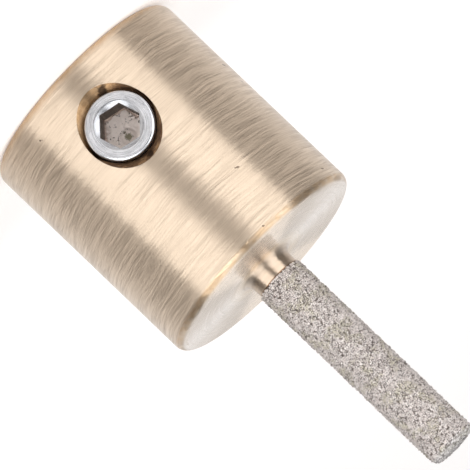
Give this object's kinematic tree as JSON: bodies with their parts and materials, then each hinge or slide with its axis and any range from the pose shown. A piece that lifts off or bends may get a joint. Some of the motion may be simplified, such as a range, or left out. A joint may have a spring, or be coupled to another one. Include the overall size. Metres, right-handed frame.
{
  "type": "diamond grinding bit",
  "caption": "Diamond grinding bit: a brass hub with a shaft bore and a clamping set screw, and a thin pin coated in diamond grit for grinding glass edges.",
  "frame": {"origin": "centre of the hub's rear face, on the bit's axis, where the bit stands", "axes": "+Z along the bit's axis from the rear face to the pin's tip; the set screw faces -Y"},
  "size_m": [0.016, 0.016, 0.0351],
  "materials": {
    "brass": "finely turned, with brushed rings round the axis",
    "diamond_grit": "rough diamond grit held in plated nickel",
    "plated_steel": "bright plated steel"
  },
  "bodies": {
    "bit": {"hub": "brass", "diamond_coating": "diamond_grit"},
    "clamp_screw": {"set_screw": "plated_steel"}
  },
  "joints": [
    {"name": "set_screw_travel", "type": "slide", "parent": "bit", "child": "clamp_screw", "axis": [0, -1, 0], "range_m": [-0.0008, 0.0016]}
  ]
}
